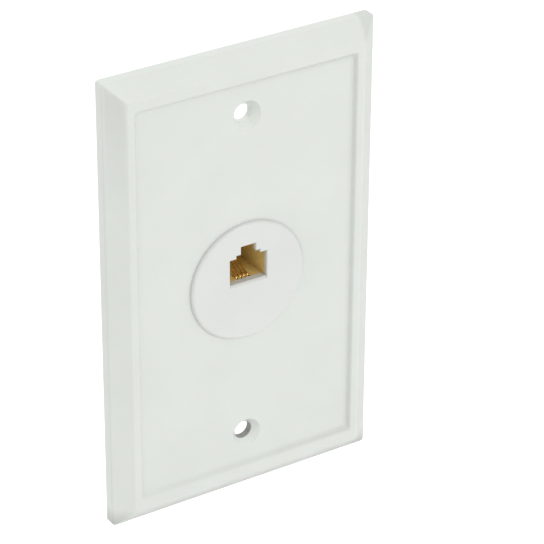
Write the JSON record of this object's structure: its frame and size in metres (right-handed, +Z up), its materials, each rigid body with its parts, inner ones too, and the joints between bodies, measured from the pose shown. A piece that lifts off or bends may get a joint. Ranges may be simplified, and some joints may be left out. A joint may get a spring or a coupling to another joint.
{
  "type": "wall jack",
  "caption": "Single-gang wall plate with a bevelled frame and sunken face, carrying a round-nosed modular telephone jack with screw terminals behind it.",
  "frame": {"origin": "centre of the plate's rim, on the wall plane", "axes": "+X to the right seen from the front, +Y into the wall, +Z up"},
  "size_m": [0.0698, 0.0233, 0.1142],
  "materials": {
    "plate_plastic": "satin white moulded plastic",
    "body_plastic": "satin white moulded plastic",
    "housing_plastic": "amber moulded plastic",
    "carrier_plastic": "dark brown moulded plastic",
    "gilt_contact": "bright gold plating",
    "tinned_splice": "tinned",
    "black_insulation": "soft vinyl",
    "red_insulation": "soft vinyl",
    "green_insulation": "soft vinyl",
    "yellow_insulation": "soft vinyl",
    "tinned_lug": "tinned",
    "plated_washer": "zinc plated",
    "plated_screw": "nickel plated",
    "brass_insert": "turned"
  },
  "bodies": {
    "root": {"wall_plate": "plate_plastic", "jack_body": "body_plastic", "contact_housing": "housing_plastic", "contact_carrier": "carrier_plastic", "contact_wire_1": "gilt_contact", "contact_wire_2": "gilt_contact", "contact_wire_3": "gilt_contact", "contact_wire_4": "gilt_contact", "splice_barrels": "tinned_splice", "lead_black": "black_insulation", "lead_red": "red_insulation", "lead_green": "green_insulation", "lead_yellow": "yellow_insulation", "spade_lug_black": "tinned_lug", "spade_lug_red": "tinned_lug", "spade_lug_green": "tinned_lug", "spade_lug_yellow": "tinned_lug", "terminal_washer_black": "plated_washer", "terminal_washer_red": "plated_washer", "terminal_washer_green": "plated_washer", "terminal_washer_yellow": "plated_washer", "terminal_screws": "plated_screw", "terminal_inserts": "brass_insert", "body_screws": "plated_screw"}
  },
  "joints": []
}
